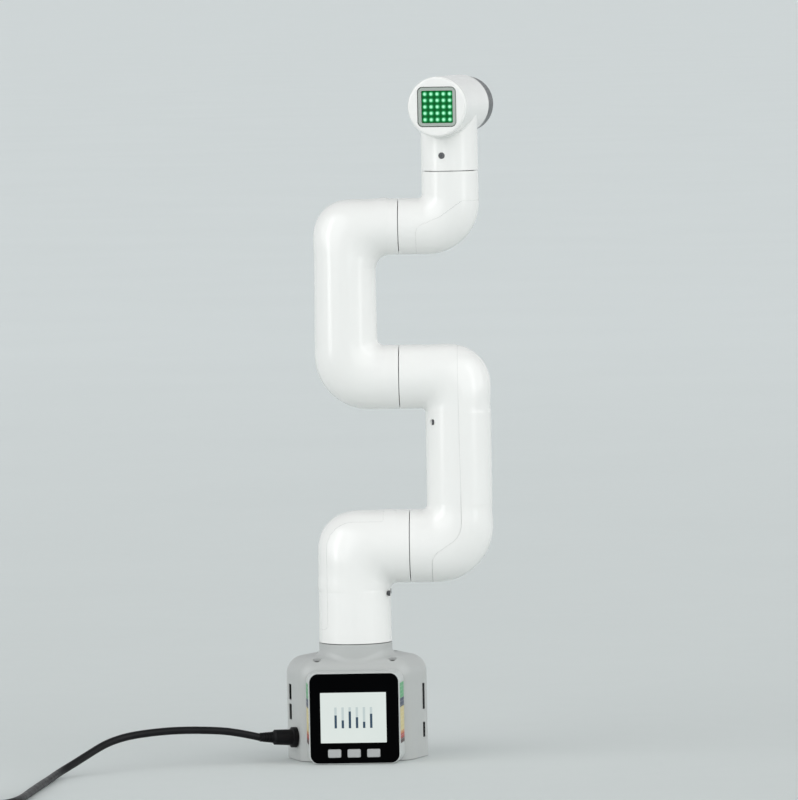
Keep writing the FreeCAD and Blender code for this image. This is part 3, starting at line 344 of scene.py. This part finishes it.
LED_LIGHT = [(0.0, (0.52, 1.0, 0.72)), (0.14, (0.40, 0.95, 0.60)), (0.24, (0.10, 0.62, 0.28)),
             (0.31, (0.03, 0.34, 0.12))]
LED_HALO = [(0.22, (0.02, 0.30, 0.10)), (0.36, (0.006, 0.20, 0.05)), (0.50, (0.001, 0.10, 0.018)),
            (0.68, (0.0, 0.055, 0.008))]

dress(GREY, "base_shell")
dress(PLATE, "base_plate")
dress(CASE, "display_case")
dress(BEZEL, "display_bezel")
dress(lit_screen(), "display_screen")
dress(circuit("board_green"), "display_board", "main_board")
dress(printed_label(), "pin_label_left", "pin_label_right")
dress(BUTTON, "button_left", "button_middle", "button_right")
dress(BLACK, "side_ports", "dc_jack", "pin_headers", "button_switches", "lead_end", "power_plug")
dress(LED_FRAME, "led_case")
dress(led_surface("led_board_lit", LED_HALO, Specular_IOR_Level=0.05), "led_board")
dress(led_surface("led_lit", LED_LIGHT, Coat_Weight=0.2), "led_chips")
dress(turned_metal(), "tool_flange")
dress(SERVO, *(f"servo_{k}" for k in range(1, 7)))
dress(STEEL, *(f"bearing_{k}" for k in range(1, 7)))
dress(HUB, *(f"hub_{k}" for k in range(1, 7)))
dress(SCREW, "shoulder_screws", "upper_arm_screws", "forearm_screws", "wrist_screws",
      "head_screws", "flange_screws")
dress(BLACKED, "base_screws")


# ---- power lead ----------------------------------------------------------------------------------
LEAD_D = 0.0047
FLOOR = LEAD_D / 2
LEAD = [
    (-0.0600, -0.0237, 0.0158), (-0.0750, -0.0280, 0.0199), (-0.0925, -0.0334, 0.0217),
    (-0.1105, -0.0378, 0.0223), (-0.1270, -0.0430, 0.0216), (-0.1416, -0.0505, 0.0201),
    (-0.1532, -0.0605, 0.0170), (-0.1634, -0.0732, 0.0116), (-0.1723, -0.0865, 0.0069),
    (-0.1800, -0.0995, 0.0032), (-0.1830, -0.1250, FLOOR), (-0.1868, -0.1650, FLOOR),
    (-0.1899, -0.2030, FLOOR), (-0.1920, -0.2380, FLOOR), (-0.1985, -0.2595, FLOOR),
    (-0.2140, -0.2747, FLOOR), (-0.2345, -0.2753, FLOOR),
]
COIL = Vector((-0.243, -0.245, 0))
COIL_R = 0.026
TURNS = ((1, 0), (0, 0), (-1, 0), (-0.5, 1), (0.5, 1), (0, 2))  # each turn's column and layer
TURN_STEPS = 16
EASE_START = 0.65  # the part of a turn after which it moves over to the next one's place
COLUMN_GAP, LAYER_GAP = 1.02, 0.98  # in diameters of the lead
ENTRY_R = 0.0240  # of the half turn that swings into the connector
SWING_STEPS, RISE_STEPS = 8, 6


def smooth(t):
    t = min(1.0, max(0.0, t))
    return t * t * (3 - 2 * t)


def coil_points(entry):
    """Clockwise turns from the front of the coil, each moving over to the next one's column and
    layer. The last half turn swings out and up into the connector, which lies on the coil."""
    points = []
    last_step = len(TURNS) * TURN_STEPS - TURN_STEPS // 2
    end_centre = entry - Vector((0, ENTRY_R, 0))
    for n in range(1, last_step + 1):
        turn, part = divmod(n, TURN_STEPS)
        here, after = TURNS[turn], TURNS[min(turn + 1, len(TURNS) - 1)]
        ease = smooth((part / TURN_STEPS - EASE_START) / (1 - EASE_START))
        column = here[0] + (after[0] - here[0]) * ease
        layer = here[1] + (after[1] - here[1]) * ease
        over = smooth((n - last_step + SWING_STEPS) / SWING_STEPS)
        rise = smooth((n - last_step + RISE_STEPS) / RISE_STEPS)
        angle = -math.pi / 2 - 2 * math.pi * n / TURN_STEPS
        reach = COIL_R + column * LEAD_D * COLUMN_GAP
        reach += (ENTRY_R - reach) * over
        reach /= math.cos(math.pi / TURN_STEPS) ** 0.5
        centre = COIL.lerp(end_centre, over)
        height = FLOOR + layer * LEAD_D * LAYER_GAP
        height += (entry.z - height) * rise
        points.append(Vector((centre.x + reach * math.cos(angle),
                              centre.y + reach * math.sin(angle), height)))
    points[-1] = entry - Vector((0.002, 0, 0))
    return points + [entry]


def make_lead():
    middle = centre_of("lead_end")
    entry = Vector((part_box("lead_end")[0][0], middle.y, middle.z))
    points = [Vector(p) for p in LEAD] + coil_points(entry)
    data = bpy.data.curves.new("power_cord", "CURVE")
    data.dimensions = "3D"
    data.bevel_depth = LEAD_D / 2
    data.bevel_resolution = 5
    data.resolution_u = 10
    spline = data.splines.new("NURBS")
    spline.points.add(len(points) - 1)
    for spot, place in zip(spline.points, points):
        spot.co = (*place, 1.0)
    spline.order_u = 3
    spline.use_endpoint_u = True
    lead = bpy.data.objects.new("power_cord", data)
    bpy.context.scene.collection.objects.link(lead)
    s = Surface("cord_jacket", Specular_IOR_Level=0.15)
    s.colour(s.blend(s.spread(s.noise(90, 5), 0, 1), (0.005, 0.005, 0.006), (0.009, 0.009, 0.010)))
    s.rough(s.spread(s.noise(300, 4), 0.3, 0.46))
    s.relief(s.noise(2200, 3), 0.00003)
    data.materials.append(s.mat)
    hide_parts("power_lead", "power_lead_coil")
    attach(lead, "base")


make_lead()


# ---- stage and light -----------------------------------------------------------------------------
TABLE_R = 150.0


def make_stage():
    """A pale table top that runs far enough back to fill the picture, with painted shade darkening
    it towards the front.
    """
    mesh = bmesh.new()
    bmesh.ops.create_circle(mesh, cap_ends=True, segments=96, radius=TABLE_R)
    data = bpy.data.meshes.new("table_top")
    mesh.to_mesh(data)
    mesh.free()
    stage = bpy.data.objects.new("table_top", data)
    bpy.context.scene.collection.objects.link(stage)
    s = Surface("table_top_paint", Specular_IOR_Level=0.2)
    paint = s.blend(s.spread(s.noise(3, 3), 0, 1), (0.775, 0.820, 0.818), (0.763, 0.808, 0.806))
    # painted shade: the table colour is multiplied darker towards the front, nearer the camera,
    # where less light falls
    painted_front_shade = s.spread(s.along((0, 1, 0)), 1, 0, -0.4, 5)
    s.colour(s.blend(painted_front_shade, paint, (0.90, 0.90, 0.89), "MULTIPLY"))
    s.rough(s.spread(s.noise(40, 3), 0.7, 0.85))
    data.materials.append(s.mat)


def soft_sun(name, direction, strength, spread, colour=(1, 1, 1)):
    """Even light from one side; spread is how wide the source looks, in degrees."""
    data = bpy.data.lights.new(name, "SUN")
    data.energy = strength
    data.angle = math.radians(spread)
    data.color = colour
    light = bpy.data.objects.new(name, data)
    light.rotation_euler = Vector(direction).to_track_quat("Z", "Y").to_euler()
    bpy.context.scene.collection.objects.link(light)


STRIP_SIZE = (0.5, 2.4)
SKY_LOW, SKY_HIGH = 0.76, 0.34  # brightness of the sky at the horizon and overhead


def strip_light(name, place, power):
    """A tall light box beside the camera, for the long soft reflections in the gloss alone."""
    data = bpy.data.lights.new(name, "AREA")
    data.shape = "RECTANGLE"
    data.size, data.size_y = STRIP_SIZE
    data.energy = power
    light = bpy.data.objects.new(name, data)
    light.location = place
    light.rotation_euler = Vector((place[0], place[1], 0)).to_track_quat("Z", "Y").to_euler()
    light.visible_diffuse = False
    bpy.context.scene.collection.objects.link(light)


def make_sky():
    """An even pale sky that is dimmer overhead."""
    world = bpy.data.worlds.new("studio")
    world.use_nodes = True
    background = world.node_tree.nodes["Background"]
    background.inputs["Color"].default_value = (0.955, 0.985, 1.0, 1)
    way = world.node_tree.nodes.new("ShaderNodeTexCoord")
    parts = world.node_tree.nodes.new("ShaderNodeSeparateXYZ")
    fade = world.node_tree.nodes.new("ShaderNodeMapRange")
    fade.inputs["To Min"].default_value = SKY_LOW
    fade.inputs["To Max"].default_value = SKY_HIGH
    world.node_tree.links.new(way.outputs["Generated"], parts.inputs["Vector"])
    world.node_tree.links.new(parts.outputs["Z"], fade.inputs["Value"])
    world.node_tree.links.new(fade.outputs["Result"], background.inputs["Strength"])
    bpy.context.scene.world = world


def make_light():
    make_sky()
    bpy.context.scene.view_settings.view_transform = "Standard"
    soft_sun("left", (-0.78, -0.54, 0.30), 1.50, 75)
    soft_sun("right", (0.80, -0.52, 0.28), 1.70, 90)
    strip_light("strip_left", (-1.9, -1.15, 1.25), 9)
    strip_light("strip_right", (1.9, -1.15, 1.25), 6)


make_stage()
make_light()
